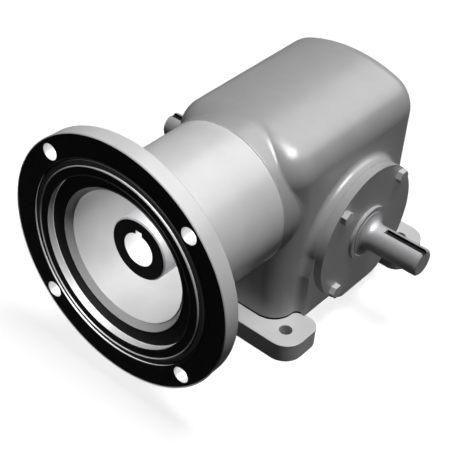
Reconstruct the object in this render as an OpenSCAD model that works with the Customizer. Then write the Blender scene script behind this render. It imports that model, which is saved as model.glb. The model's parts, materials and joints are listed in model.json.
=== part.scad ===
// Right-angle worm gear reducer with a flanged hollow input and a double-ended output shaft.
// X runs along the worm axis into the housing, Y along the output shaft, Z up. The origin is the
// centre of the four base holes, on the underside of the base plate. "Right" is the -Y side.

/* [Gear set] */
// Distance between the worm axis and the output axis
centre_dist = 38.1; // [37.5:0.1:39.5]
// Axial module of the worm
gear_module = 2.6; // [2.5:0.05:2.7]
// Number of teeth on the worm wheel
wheel_teeth = 20; // [19:1:21]
// Pressure angle of the thread flanks
pressure_angle = 20; // [18:0.5:22]
// Gap between thread and tooth on each flank
backlash = 0.17; // [0.15:0.01:0.25]
// Length of the threaded part of the worm
worm_len = 50; // [44:1:56]
// Width of the bronze rim
rim_w = 18; // [15:0.5:20]
// Outer radius of the wheel's cast iron hub
hub_r = 19.6; // [19.2:0.1:19.9]
// Width of the wheel's hub
hub_w = 24; // [21:1:28]

/* [Layout] */
// Height of the output axis above the underside of the base plate
output_height = 59.5; // [59:0.5:66]
// Distance of the output axis behind the middle of the base
wheel_offset = 3; // [0:0.5:5]

/* [Housing] */
// Length of the cast housing
housing_len = 136.6; // [130:0.5:142]
// Width of the cast housing
housing_w = 101; // [100:0.5:106]
// Height of the flat side walls above the worm axis
side_rise = 21.4; // [18:0.2:26]
// Radius of the shoulders of the hood
shoulder_r = 24; // [22:0.5:28]
// Radius of the crown of the hood
crown_r = 100; // [80:1:140]
// Edge rounding at the input end
front_round = 21; // [16:0.5:21.5]
// Edge rounding at the far end
rear_round = 15; // [10:0.5:20]
// Thickness of the housing walls
wall_t = 8; // [7:0.5:9]
// Thickness of the housing floor
floor_t = 8; // [7.5:0.5:8.5]
// Height of the round boss on the input end
front_boss_rise = 3.3; // [2:0.1:6]

/* [Side bosses and pads] */
// Height of the bearing bosses above the side walls
boss_rise = 7.2; // [5:0.2:10]
// Radius of the bosses and of the bearing covers
cover_r = 48.5; // [48:0.1:49.2]
// Radius of the fillet between boss and side wall
boss_fillet = 4.1; // [3:0.1:5]
// Half width of the foot pad under each boss
pad_half_w = 51; // [49.5:0.5:54]
// Radius of the fillets beside the foot pad
pad_fillet = 7; // [4:0.5:7]

/* [Bearing covers] */
// Radius of the opening that the cover's spigot fits
opening_r = 36; // [34.5:0.1:36.5]
// Thickness of the shims under each cover
shim_t = 0.2; // [0.1:0.05:0.5]
// Thickness of the cover's flange
cover_t = 6; // [5:0.2:8]
// Height of the cover's round hub
cover_hub_rise = 2.2; // [1:0.2:4]
// Radius of the cover's round hub
cover_hub_r = 19.6; // [18.5:0.2:24]
// Radius of the circle of cover screws
cover_screw_circle = 43.2; // [42.5:0.1:43.4]
// Shank radius of a cover screw
cover_screw_r = 2.4; // [2:0.1:2.5]
// Width across flats of a cover screw
cover_screw_flats = 8.7; // [7:0.1:9]
// Head height of a cover screw
cover_screw_head = 4; // [3:0.1:5]

/* [Output shaft] */
// Radius of the output shaft
output_r = 9.525; // [8:0.025:10.5]
// Length of shaft outside each cover
output_reach = 42; // [41:1:60]
// Radius of the bearing journals
journal_r = 15.875; // [15.5:0.025:16]
// Radius of the wheel seat
seat_r = 16.3; // [16.2:0.1:16.5]
// Radius of the shoulder and of the spacer beside the wheel
shoulder_ring_r = 20; // [19:0.1:20.5]
// Radius of the fillet from shaft to journal
shaft_fillet = 6.35; // [3:0.05:7]
// Chamfer on the shaft ends
end_chamfer = 1.2; // [0.5:0.1:2]
// Width of the keys and keyways
key_w = 4.76; // [4:0.02:5]
// Depth of the keyways
key_depth = 2.4; // [2:0.1:2.6]
// Length of the output keyways
output_key_len = 30; // [20:1:34]

/* [Tapered roller bearings] */
// Outer radius of the bearing cups
cup_r = 29.57; // [29.3:0.05:29.9]
// Distance from the boss face to the cup's back face
cup_depth = 6.7; // [6:0.1:7.5]
// Width of a bearing
taper_w = 16; // [15.5:0.1:17]
// Number of rollers in a bearing
roller_count = 15; // [12:1:15]
// Radius of the circle of roller centres
roller_circle = 22.7; // [22.6:0.05:22.8]
// Angle of the roller axes
roller_tilt = 12; // [11:0.5:13]
// Half angle of each tapered roller
roller_taper = 2; // [1.9:0.05:2.1]
// Length of each roller
roller_len = 11; // [9:0.5:11]

/* [Motor flange] */
// Radius of the motor flange
flange_r = 82.55; // [81:0.05:88]
// Thickness of the motor flange
flange_t = 11.3; // [10:0.1:14]
// Radius of the bolt circle
bolt_circle_r = 74.6125; // [74.2:0.0125:75.5]
// Radius of the bolt holes
bolt_hole_r = 5.35; // [4.5:0.05:5.6]
// Radius of the register that centres the motor
register_r = 57.15; // [55:0.05:59]
// Depth of the register
register_depth = 5; // [4:0.1:7]
// Inner radius of the groove in the flange face
groove_in_r = 62.4; // [61:0.1:63]
// Outer radius of the groove in the flange face
groove_out_r = 67.9; // [67:0.1:68]
// Depth of the groove in the flange face
groove_depth = 1.2; // [1.1:0.1:2]
// Radius of the sealing ring in the groove
seal_ring_r = 65; // [64.5:0.1:65.5]
// Width of the sealing ring
seal_ring_w = 2.2; // [1.6:0.1:2.6]
// Thickness of the sealing ring
seal_ring_t = 0.8; // [0.5:0.1:1]

/* [Motor adapter] */
// Length of the adapter from its face to the gasket
adapter_len = 93.1; // [88:0.5:110]
// Thickness of the barrel's wall
barrel_t = 5.5; // [5:0.1:6]
// Chamfer at the edge of the bell's mouth
mouth_chamfer = 3.7; // [2.5:0.1:4.5]
// Thickness of the bell's floor
bell_floor_t = 8; // [7.5:0.1:10]
// Radius of the fillet behind the flange
flange_fillet = 4; // [2:0.5:6]
// Thickness of the gasket
gasket_t = 0.4; // [0.3:0.1:1]
// Room beside the heads of the adapter screws
head_room = 1.5; // [1:0.1:2]
// Shank radius of the adapter and base screws
m6_r = 3; // [2.8:0.1:3.1]

/* [Worm shaft] */
// Outer radius of the hollow quill
quill_r = 20.85; // [19:0.05:21.5]
// Radius of the quill's bore
quill_bore_r = 11.11; // [9.5:0.01:12]
// Depth of the quill's bore
quill_bore_len = 62; // [50:1:66]
// Distance from the flange face to the end of the quill
quill_setback = 18.5; // [12:0.5:30]
// Radius of the shaft on both sides of the worm
worm_neck_r = 10; // [9.5:0.1:10.5]

/* [Ball bearings] */
// Bore radius of the front bearing
front_bore_r = 15; // [14.9:0.05:15.5]
// Outer radius of the front bearing
front_outer_r = 31; // [30.6:0.1:31.3]
// Width of the front bearing
front_w = 16; // [14:0.5:17]
// Number of balls in the front bearing
front_ball_count = 9; // [7:1:10]
// Depth of the front bearing behind the boss face
front_depth = 7.1; // [5:0.1:8]
// Bore radius of the rear bearing
rear_bore_r = 8.5; // [8:0.1:9]
// Outer radius of the rear bearing
rear_outer_r = 20; // [19:0.5:21]
// Width of the rear bearing
rear_w = 12; // [10:0.5:13]
// Number of balls in the rear bearing
rear_ball_count = 8; // [6:1:9]
// Distance from the rear bearing to the housing's end face
rear_depth = 10.3; // [9.5:0.1:12]

/* [Base plate] */
// Thickness of the base plate
base_t = 14; // [13:0.5:16]
// Length of the base plate
base_len = 162; // [158:1:172]
// Width of the base plate over its ears
base_w = 142; // [138:1:150]
// Length of each pair of ears along X
ear_len = 35.3; // [34:0.1:42]
// Width of the web between the ears
web_w = 80; // [74:1:88]
// Radius of the outer corners of the ears
ear_r = 14; // [10:0.5:15]
// Radius of the inner corners of the ears
ear_back_r = 10; // [6:0.5:11]
// Spacing of the base holes along X
hole_space_x = 132; // [128:0.5:138]
// Spacing of the base holes along Y
hole_space_y = 112.8; // [110:0.2:118]
// Radius of the base holes
base_hole_r = 4.35; // [3.5:0.05:4.6]

/* [Clearances] */
// Radial clearance of parts that sit in a bore or on a seat
fit_gap = 0.03; // [0.02:0.01:0.06]
// Clearance of parts that run on each other
run_gap = 0.05; // [0.05:0.01:0.08]

/* [Hidden] */
$fn = 96;
over = 1;

// Colours
cast_grey = [0.62, 0.63, 0.64];
dark_iron = [0.16, 0.16, 0.17];
steel = [0.70, 0.71, 0.73];
bright_steel = [0.82, 0.83, 0.84];
bronze = [0.72, 0.50, 0.22];
rubber = [0.10, 0.10, 0.11];

// Gear set
wheel_x = wheel_offset;
wheel_z = output_height;
worm_z = output_height + centre_dist;
lead = PI * gear_module;
wheel_pitch_r = gear_module * wheel_teeth / 2;
worm_pitch_r = centre_dist - wheel_pitch_r;
worm_tip_r = worm_pitch_r + gear_module;
worm_root_r = worm_pitch_r - 1.25 * gear_module;
tip_gap = 0.25 * gear_module;
wheel_tip_r = wheel_pitch_r + 1.4 * gear_module;
worm_x0 = wheel_x - worm_len / 2;
worm_x1 = wheel_x + worm_len / 2;

// Housing
housing_x0 = -housing_len / 2;
housing_x1 = housing_len / 2;
side_y = housing_w / 2;
side_top_z = worm_z + side_rise;
shoulder_y = side_y - shoulder_r;
crown_drop = sqrt(pow(crown_r - shoulder_r, 2) - pow(shoulder_y, 2));
crown_mid_z = side_top_z - crown_drop;
tangent_deg = atan2(crown_drop, shoulder_y);
inner_floor_z = base_t + floor_t;
front_face_x = housing_x0 - front_boss_rise;
front_boss_len = front_boss_rise + front_round - 3;
boss_face_y = side_y + boss_rise;
boss_band_y = boss_face_y - 4.1;
boss_root = 4;
pad_half_rise = 12.5;
pad_top_z = wheel_z + pad_half_rise;
pad_shoulder_z = wheel_z - pad_half_rise;
pad_top_half_w = 46.5;

// Covers
cover_y0 = boss_face_y + shim_t;
cover_face_y = cover_y0 + cover_t;
hub_face_y = cover_face_y + cover_hub_rise;
cover_bottom_z = base_t + 0.3;
cup_back_y = boss_face_y - cup_depth;
spigot_len = 13;
spigot_y = cup_back_y - spigot_len;
seal_in_y = cup_back_y + 3;
seal_len = 7;
seal_out_r = 22.2;
cover_bore_r = journal_r + 0.4;
cover_screw_tip_y = side_y - 5.5;
cover_hole_r = cover_screw_r + 0.2;

// Tapered roller bearings
cone_in_y = cup_back_y - taper_w;
cup_w = 11.8;
cup_in_y = cup_back_y - cup_w;
roller_mid_y = cup_back_y - 8;
apex_y = roller_mid_y + roller_circle / tan(roller_tilt);
roller_mid_s = roller_circle / sin(roller_tilt);
cup_angle = roller_tilt + roller_taper;
cone_angle = roller_tilt - roller_taper;
cone_rib_w = 1.6;
cone_rib_r = 21.5;
cage_t = 1.2;
roller_cage_rim = 1.4;

// Output shaft
shaft_end_y = hub_face_y + output_reach;
journal_y = hub_face_y + 0.25;
key_len = hub_w - 4;

// Motor adapter: its screws stand round the front bearing, and the bell round their heads. It is
// placed from the gasket outwards.
m6_head_r = 5;
m6_head_h = 6;
m6_socket_r = 2.88;
m6_grip = 12;
m6_hole_r = m6_r + 0.3;
tip_room = 0.5;
adapter_screw_circle = front_outer_r + head_room + m6_head_r;
bell_r = adapter_screw_circle + m6_head_r + head_room;
mouth_r = bell_r + mouth_chamfer;
barrel_r = bell_r + barrel_t;
adapter_back_x = front_face_x - gasket_t;
flange_x = adapter_back_x - adapter_len;
barrel_d = flange_t + flange_fillet;
bell_floor_x = adapter_back_x - bell_floor_t;
front_brg_x0 = front_face_x + front_depth;
front_brg_x1 = front_brg_x0 + front_w;
pilot_x = front_brg_x0 - 0.2;
input_seal_r = 28;
input_seal_x = bell_floor_x + 0.5;
input_seal_len = bell_floor_t - 0.8;

// Shaft seals: the sealing lip, the groove behind it and the closed back
lip_t = 1.6;
lip_groove_w = 2.2;
seal_back_t = 2;

// Worm shaft
quill_x = flange_x + quill_setback;
quill_chamfer = 0.8;
snap_w = 1.2;
snap_depth = 1.2;
snap_rise = 1.6;
snap_opening = 4;
snap_play = 0.05;
front_snap_x = front_brg_x1 + 0.1;
front_seat_x1 = front_brg_x1 + 2.6;
rear_brg_x1 = housing_x1 - rear_depth;
rear_brg_x0 = rear_brg_x1 - rear_w;
rear_snap_x = rear_brg_x1 + 0.1;
worm_end_x = rear_brg_x1 + 3;
front_lip_r = front_outer_r - 4;
front_stop_t = 3.5;
rear_stop_t = 2;
rear_lip_r = rear_outer_r - 3.5;
front_inner_boss_r = front_outer_r + 8;
rear_inner_boss_r = rear_outer_r + 7;
end_plug_x = housing_x1 - 5;

// Base and plugs
base_screw_x = 56;
base_screw_y = 30;
base_screw_grip = floor_t - 2;
counterbore_r = 5.6;
counterbore_h = 7;
web_fillet = 8;
plug_r = 6.4;
vent_rise = 10;
vent_z = worm_z + rear_outer_r + vent_rise;
level_z = wheel_z + 6;
level_y = -24;
drain_z = inner_floor_z + 8;

// Placing on the two axes: the child's Z axis becomes +X on the worm axis, +Y on the output axis
module on_worm(x) { translate([x, 0, worm_z]) rotate([0, 90, 0]) children(); }
module on_wheel(y) { translate([wheel_x, y, wheel_z]) rotate([-90, 0, 0]) children(); }
module on_side(side) {
  if (side == "right") mirror([0, 1, 0]) children();
  else children();
}
module ring(outer, inner, h) {
  difference() {
    cylinder(r = outer, h = h);
    translate([0, 0, -over]) cylinder(r = inner, h = h + 2 * over);
  }
}
module around(count, circle_r, start = 0) {
  for (i = [0 : count - 1]) rotate([0, 0, start + i * 360 / count]) translate([circle_r, 0, 0]) children();
}

// Hood: the outline across the worm axis, drawn inwards by an inset, from one foot to the other
round_steps = 8;
crown_steps = 5;
crown_gap_deg = 5;
function arc_pts(cy, cz, r, a0, a1, n) =
  [for (i = [0 : n]) let (a = a0 + (a1 - a0) * i / n) [cy + r * cos(a), cz + r * sin(a)]];
function hood_outline(inset, foot_z) =
  let (crown_deg = tangent_deg + crown_gap_deg)
  concat(
    [[side_y - inset, foot_z]],
    arc_pts(shoulder_y, side_top_z, shoulder_r - inset, 0, tangent_deg, round_steps),
    arc_pts(0, crown_mid_z, crown_r - inset, crown_deg, 180 - crown_deg, crown_steps),
    arc_pts(-shoulder_y, side_top_z, shoulder_r - inset, 180 - tangent_deg, 180, round_steps),
    [[inset - side_y, foot_z]]);
function edge_round(e) =
  [for (i = [0 : round_steps]) let (a = 90 * i / round_steps) [e * (1 - cos(a)), e * (1 - sin(a))]];

// Loft of outlines with the same number of points, each in its own plane across X
module loft_x(xs, outlines) {
  n = len(outlines[0]);
  m = len(xs);
  pts = [for (j = [0 : m - 1]) for (p = outlines[j]) [xs[j], p[0], p[1]]];
  sides = [for (j = [0 : m - 2]) for (k = [0 : n - 1])
    [j * n + k, (j + 1) * n + k, (j + 1) * n + (k + 1) % n, j * n + (k + 1) % n]];
  front = [for (k = [0 : n - 1]) k];
  back = [for (k = [0 : n - 1]) m * n - 1 - k];
  polyhedron(points = pts, faces = concat([front, back], sides), convexity = 4);
}
module hood() {
  front = edge_round(front_round);
  rear = edge_round(rear_round);
  backwards = [round_steps : -1 : 0];
  xs = concat([for (p = front) housing_x0 + p[0]], [for (i = backwards) housing_x1 - rear[i][0]]);
  insets = concat([for (p = front) p[1]], [for (i = backwards) rear[i][1]]);
  loft_x(xs, [for (d = insets) hood_outline(d, base_t)]);
}
module hood_cavity() {
  translate([housing_x0 + wall_t, 0, 0]) rotate([90, 0, 90])
    linear_extrude(housing_len - 2 * wall_t) polygon(hood_outline(wall_t, inner_floor_z));
}

// Side boss with a concave fillet down to the wall, and the foot pad under it
module side_boss() {
  back_y = boss_band_y - boss_fillet;
  on_wheel(0) rotate_extrude() difference() {
    union() {
      translate([0, side_y - boss_root]) square([cover_r, boss_face_y - side_y + boss_root]);
      translate([0, back_y]) square([cover_r + boss_fillet, boss_fillet]);
    }
    translate([cover_r + boss_fillet, boss_band_y]) circle(r = boss_fillet);
  }
}
module foot_pad() {
  flare = pad_half_w + pad_fillet;
  pad_back_y = side_y - boss_root;
  difference() {
    translate([wheel_x, boss_face_y, 0]) rotate([90, 0, 0]) linear_extrude(boss_face_y - pad_back_y)
      polygon([[-flare, base_t], [flare, base_t], [flare, pad_shoulder_z], [pad_top_half_w, pad_top_z],
        [-pad_top_half_w, pad_top_z], [-flare, pad_shoulder_z]]);
    for (s = [-1, 1]) translate([wheel_x + s * flare, boss_face_y, base_t - over])
      cylinder(r = pad_fillet, h = pad_top_z);
  }
}
module side_machining() {
  on_wheel(spigot_y - 2) cylinder(r = opening_r, h = boss_face_y);
  on_wheel(cover_screw_tip_y - tip_room) around(4, cover_screw_circle, 45)
    cylinder(r = cover_screw_r + fit_gap, h = boss_face_y);
}
module housing() {
  color(cast_grey) difference() {
    union() {
      difference() {
        union() {
          hood();
          on_worm(front_face_x) cylinder(r = barrel_r, h = front_boss_len);
          for (side = ["right", "left"]) on_side(side) {
            side_boss();
            foot_pad();
          }
        }
        hood_cavity();
      }
      on_worm(housing_x0 + wall_t - over)
        cylinder(r = front_inner_boss_r, h = front_brg_x1 + front_stop_t - housing_x0 - wall_t + over);
      on_worm(rear_brg_x0 - rear_stop_t)
        cylinder(r = rear_inner_boss_r, h = housing_x1 - wall_t + over - rear_brg_x0 + rear_stop_t);
    }
    translate([-housing_len, -housing_w, -over]) cube([2 * housing_len, 2 * housing_w, base_t + over]);
    on_worm(front_face_x - over)
      cylinder(r = front_outer_r + fit_gap, h = front_brg_x1 - front_face_x + over);
    on_worm(front_face_x) cylinder(r = front_lip_r, h = front_depth + front_w + front_stop_t + over);
    on_worm(rear_brg_x0) cylinder(r = rear_outer_r + fit_gap, h = housing_len);
    on_worm(rear_brg_x0 - rear_stop_t - over) cylinder(r = rear_lip_r, h = rear_w);
    on_worm(front_face_x - over) around(4, adapter_screw_circle, 45)
      cylinder(r = m6_r + fit_gap, h = m6_grip + tip_room + over);
    for (side = ["right", "left"]) on_side(side) side_machining();
    base_screw_places() translate([0, 0, base_t - over])
      cylinder(r = m6_r + fit_gap, h = over + base_screw_grip + tip_room);
    plug_hole(0, vent_z);
    plug_hole(level_y, level_z);
    plug_hole(0, drain_z);
  }
}

// Pipe plugs in the far end wall, with a hexagon socket
module plug_hole(y, z) {
  translate([housing_x1 - wall_t - over, y, z]) rotate([0, 90, 0])
    cylinder(r = plug_r + fit_gap, h = wall_t + 2 * over);
}
module pipe_plug(y, z) {
  proud = 0.8;
  short_by = 0.5;
  len = wall_t - short_by + proud;
  socket_r = 3.6;
  socket_depth = 5.3;
  color(dark_iron) translate([housing_x1 - wall_t + short_by, y, z]) rotate([0, 90, 0]) difference() {
    cylinder(r = plug_r, h = len);
    translate([0, 0, len - socket_depth]) cylinder(r = socket_r, h = wall_t, $fn = 6);
  }
}
module vent_plug() { pipe_plug(0, vent_z); }
module level_plug() { pipe_plug(level_y, level_z); }
module drain_plug() { pipe_plug(0, drain_z); }
module rear_end_plug() {
  sheet_t = 1.5;
  rim_h = 4;
  color(steel) on_worm(end_plug_x) difference() {
    cylinder(r = rear_outer_r, h = rim_h);
    translate([0, 0, sheet_t]) cylinder(r = rear_outer_r - sheet_t, h = rim_h);
  }
}

// Motor adapter: its flange down to the foot of the fillet, and its barrel from there to the pilot
// in the housing. Depths are measured from the flange face.
module motor_flange() {
  mouth_d = register_depth + mouth_chamfer;
  color(cast_grey) difference() {
    on_worm(flange_x) rotate_extrude() difference() {
      union() {
        polygon([[bell_r, mouth_d], [mouth_r, register_depth], [register_r, register_depth],
          [register_r, 0], [groove_in_r, 0], [groove_in_r, groove_depth], [groove_out_r, groove_depth],
          [groove_out_r, 0], [flange_r, 0], [flange_r, flange_t], [barrel_r, flange_t],
          [barrel_r, barrel_d], [bell_r, barrel_d]]);
        translate([barrel_r, flange_t]) square(flange_fillet);
      }
      translate([barrel_r + flange_fillet, barrel_d]) circle(r = flange_fillet);
    }
    on_worm(flange_x - over) around(4, bolt_circle_r, 45) cylinder(r = bolt_hole_r, h = flange_t + 2 * over);
  }
}
module motor_adapter() {
  floor_d = adapter_len - bell_floor_t;
  pilot_d = pilot_x - flange_x;
  color(cast_grey) difference() {
    on_worm(flange_x) rotate_extrude() polygon([
      [bell_r, barrel_d], [barrel_r, barrel_d], [barrel_r, adapter_len], [front_outer_r, adapter_len],
      [front_outer_r, pilot_d], [input_seal_r, pilot_d], [input_seal_r, floor_d], [bell_r, floor_d]]);
    on_worm(bell_floor_x - over) around(4, adapter_screw_circle, 45)
      cylinder(r = m6_hole_r, h = bell_floor_t + 2 * over);
  }
}
module adapter_gasket() {
  color(rubber) on_worm(adapter_back_x) difference() {
    ring(barrel_r - 0.4, front_outer_r + 0.3, gasket_t);
    translate([0, 0, -over]) around(4, adapter_screw_circle, 45)
      cylinder(r = m6_hole_r, h = gasket_t + 2 * over);
  }
}
module socket_screw(grip) {
  translate([0, 0, -grip]) cylinder(r = m6_r, h = grip);
  difference() {
    cylinder(r = m6_head_r, h = m6_head_h);
    translate([0, 0, m6_head_h / 2]) cylinder(r = m6_socket_r, h = m6_head_h, $fn = 6);
  }
}
module adapter_screws() {
  color(dark_iron) on_worm(bell_floor_x) mirror([0, 0, 1]) around(4, adapter_screw_circle, 45)
    socket_screw(bell_floor_t + gasket_t + m6_grip);
}
module flange_seal_ring() {
  color(rubber) on_worm(flange_x + groove_depth - seal_ring_t)
    ring(seal_ring_r + seal_ring_w / 2, seal_ring_r - seal_ring_w / 2, seal_ring_t);
}
module input_seal() {
  color(rubber) on_worm(input_seal_x) rotate_extrude() difference() {
    translate([quill_r + run_gap, 0]) square([input_seal_r - fit_gap - quill_r - run_gap, input_seal_len]);
    translate([quill_r + lip_t, seal_back_t]) square([lip_groove_w, input_seal_len]);
  }
}

// Base plate with four ears, and the screws that hold the housing from below
module base_screw_places() {
  for (x = [-1, 1]) for (y = [-1, 1]) translate([x * base_screw_x, y * base_screw_y, 0]) children();
}
module corner_cut(r) {
  difference() {
    square(r + over);
    circle(r = r);
  }
}
module base_outline() {
  inner_x = base_len / 2 - ear_len;
  for (s = [-1, 1]) mirror([s < 0 ? 1 : 0, 0]) {
    difference() {
      translate([inner_x, -base_w / 2]) square([ear_len, base_w]);
      for (t = [-1, 1]) mirror([0, t < 0 ? 1 : 0]) {
        translate([base_len / 2 - ear_r, base_w / 2 - ear_r]) corner_cut(ear_r);
        translate([inner_x + ear_back_r, base_w / 2 - ear_back_r]) mirror([1, 0]) corner_cut(ear_back_r);
      }
    }
    for (t = [-1, 1]) difference() {
      translate([inner_x - web_fillet, t < 0 ? -web_w / 2 - web_fillet : web_w / 2]) square(web_fillet);
      translate([inner_x - web_fillet, t * (web_w / 2 + web_fillet)]) circle(r = web_fillet);
    }
  }
  translate([-inner_x, -web_w / 2]) square([2 * inner_x, web_w]);
}
module base_plate() {
  color(cast_grey) difference() {
    linear_extrude(base_t) base_outline();
    for (x = [-1, 1]) for (y = [-1, 1]) translate([x * hole_space_x / 2, y * hole_space_y / 2, -over])
      cylinder(r = base_hole_r, h = base_t + 2 * over);
    base_screw_places() translate([0, 0, -over]) {
      cylinder(r = m6_hole_r, h = base_t + 2 * over);
      cylinder(r = counterbore_r, h = counterbore_h + over);
    }
  }
}
module base_screws() {
  color(dark_iron) base_screw_places() translate([0, 0, counterbore_h]) mirror([0, 0, 1])
    socket_screw(base_t - counterbore_h + base_screw_grip);
}

// Bearing covers with their shims and screws, and the seals in their bores
module above_base() {
  difference() {
    children();
    translate([-housing_len, 0, -over]) cube([2 * housing_len, housing_w, cover_bottom_z + over]);
  }
}
module cover(side) {
  spigot_r = opening_r - fit_gap;
  color(cast_grey) on_side(side) above_base() difference() {
    on_wheel(0) rotate_extrude() polygon([
      [cup_r + fit_gap, spigot_y], [spigot_r, spigot_y], [spigot_r, cover_y0], [cover_r, cover_y0],
      [cover_r, cover_face_y], [cover_hub_r, cover_face_y], [cover_hub_r, hub_face_y],
      [cover_bore_r, hub_face_y], [cover_bore_r, seal_in_y + seal_len],
      [seal_out_r, seal_in_y + seal_len], [seal_out_r, seal_in_y], [seal_out_r + 2, seal_in_y],
      [seal_out_r + 2, cup_back_y], [cup_r + fit_gap, cup_back_y]]);
    on_wheel(cover_y0 - over) around(4, cover_screw_circle, 45)
      cylinder(r = cover_hole_r, h = cover_t + 2 * over);
  }
}
module cover_shims(side) {
  color(bright_steel) on_side(side) above_base() on_wheel(boss_face_y) difference() {
    ring(cover_r - 0.5, opening_r + 0.3, shim_t);
    translate([0, 0, -over]) around(4, cover_screw_circle, 45)
      cylinder(r = cover_hole_r, h = shim_t + 2 * over);
  }
}
module cover_screws(side) {
  grip = cover_face_y - cover_screw_tip_y;
  head_r = cover_screw_flats / 2 / cos(30);
  turns = [0, 30, 0, 30];
  color(steel) on_side(side) on_wheel(cover_face_y) for (i = [0 : 3])
    rotate([0, 0, 45 + i * 90]) translate([cover_screw_circle, 0, 0]) rotate([0, 0, turns[i] - 45 - i * 90]) {
      translate([0, 0, -grip]) cylinder(r = cover_screw_r, h = grip);
      rotate([0, 0, 30]) cylinder(r = head_r, h = cover_screw_head, $fn = 6);
    }
}
module output_seal(side) {
  color(rubber) on_side(side) on_wheel(seal_in_y) rotate_extrude() difference() {
    translate([journal_r + run_gap, 0])
      square([seal_out_r - fit_gap - journal_r - run_gap, seal_len - fit_gap]);
    translate([journal_r + lip_t, -over]) square([lip_groove_w, seal_len - seal_back_t + over]);
  }
}

// Tapered roller bearing: all raceways and rollers point at one apex on the output axis
module bearing_cup(side) {
  race = function(y) (apex_y - y) * tan(cup_angle) + run_gap;
  color(bright_steel) on_side(side) on_wheel(0) rotate_extrude() polygon([
    [race(cup_in_y), cup_in_y], [cup_r, cup_in_y], [cup_r, cup_back_y], [race(cup_back_y), cup_back_y]]);
}
module bearing_cone(side) {
  race = function(y) (apex_y - y) * tan(cone_angle) - run_gap;
  rib_y = cone_in_y + cone_rib_w;
  bore = journal_r + fit_gap;
  color(bright_steel) on_side(side) on_wheel(0) rotate_extrude() polygon([
    [bore, cone_in_y], [cone_rib_r, cone_in_y], [cone_rib_r, rib_y], [race(rib_y), rib_y],
    [race(cup_back_y), cup_back_y], [bore, cup_back_y]]);
}
module roller_set(extra) {
  near = roller_mid_s - roller_len / 2 - extra;
  far = roller_mid_s + roller_len / 2 + extra;
  translate([0, 0, apex_y]) for (i = [0 : roller_count - 1])
    rotate([0, 0, i * 360 / roller_count]) rotate([0, 180 - roller_tilt, 0]) translate([0, 0, near])
      cylinder(r1 = near * tan(roller_taper) + extra, r2 = far * tan(roller_taper) + extra, h = far - near);
}
module rollers(side) { color(bright_steel) on_side(side) on_wheel(0) roller_set(0); }
module roller_cage(side) {
  y0 = roller_mid_y - roller_len / 2 - roller_cage_rim;
  y1 = roller_mid_y + roller_len / 2 + roller_cage_rim;
  mid = function(y) (apex_y - y) * tan(roller_tilt);
  half = cage_t / 2;
  color(steel) on_side(side) on_wheel(0) difference() {
    rotate_extrude() polygon([
      [mid(y0) - half, y0], [mid(y0) + half, y0], [mid(y1) + half, y1], [mid(y1) - half, y1]]);
    roller_set(3 * run_gap);
  }
}

// Output shaft with its key, the wheel's hub and the spacer
module output_shaft() {
  shoulder_y0 = hub_w / 2;
  neck_y = journal_y + shaft_fillet;
  color(steel) difference() {
    on_wheel(0) rotate_extrude() difference() {
      polygon([
        [0, -shaft_end_y], [output_r - end_chamfer, -shaft_end_y], [output_r, end_chamfer - shaft_end_y],
        [output_r, -neck_y], [journal_r, -neck_y], [journal_r, -hub_w / 2], [seat_r, -hub_w / 2],
        [seat_r, shoulder_y0], [shoulder_ring_r, shoulder_y0], [shoulder_ring_r, cone_in_y],
        [journal_r, cone_in_y], [journal_r, neck_y], [output_r, neck_y],
        [output_r, shaft_end_y - end_chamfer], [output_r - end_chamfer, shaft_end_y], [0, shaft_end_y]]);
      for (s = [-1, 1]) translate([output_r + shaft_fillet, s * neck_y]) circle(r = shaft_fillet);
    }
    for (side = ["right", "left"]) on_side(side)
      translate([wheel_x - key_w / 2, shaft_end_y - output_key_len, wheel_z + output_r - key_depth])
        cube([key_w, output_key_len + over, output_r]);
    translate([wheel_x - key_w / 2, -key_len / 2, wheel_z + seat_r - key_depth])
      cube([key_w, key_len, seat_r]);
  }
}
module wheel_key() {
  slack = 0.02;
  top_gap = 0.4;
  color(steel) translate([wheel_x - key_w / 2, -key_len / 2, wheel_z + seat_r - key_depth])
    translate([slack, slack, slack]) cube([key_w - 2 * slack, key_len - 2 * slack, 2 * key_depth - top_gap]);
}
module wheel_hub() {
  color(dark_iron) difference() {
    on_wheel(-hub_w / 2) ring(hub_r, seat_r + fit_gap, hub_w);
    translate([wheel_x - key_w / 2, -hub_w / 2 - over, wheel_z])
      cube([key_w, hub_w + 2 * over, seat_r + key_depth]);
  }
}
module wheel_spacer() {
  color(steel) on_wheel(-cone_in_y) ring(shoulder_ring_r, journal_r + fit_gap, cone_in_y - hub_w / 2);
}

// Worm thread and the wheel teeth that it cuts. The thread is straight sided along the axis. In each
// plane across the output axis, a tooth flank is the envelope of the thread as both turn.
function thread_half(rho) =
  PI * gear_module / 4 - (rho - worm_pitch_r) * tan(pressure_angle);
function thread_x(c, h, side) =
  lead * atan(c / h) / 360 + side * (thread_half(norm([c, h])) + backlash);
function wheel_deg(x) = x / wheel_pitch_r * 180 / PI;
function reach_deg(c, r) =
  acos(min(1, (centre_dist - sqrt(pow(worm_tip_r, 2) - c * c)) / r));
function flank_deg(c, r, side) =
  let (
    steps = 24,
    reach = reach_deg(c, r),
    cuts = [for (i = [-steps : steps]) let (a = reach * i / steps, h = centre_dist - r * cos(a))
      a - wheel_deg(r * sin(a) - thread_x(c, h, side))])
  side > 0 ? max(cuts) : min(cuts);
function throat_r(c, worm_r) = centre_dist - sqrt(pow(worm_r + tip_gap, 2) - c * c);
function tooth_tip_r(c) = min(wheel_tip_r, throat_r(min(c, worm_root_r), worm_root_r));

flank_steps = 4;
rim_planes = 8;
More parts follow.
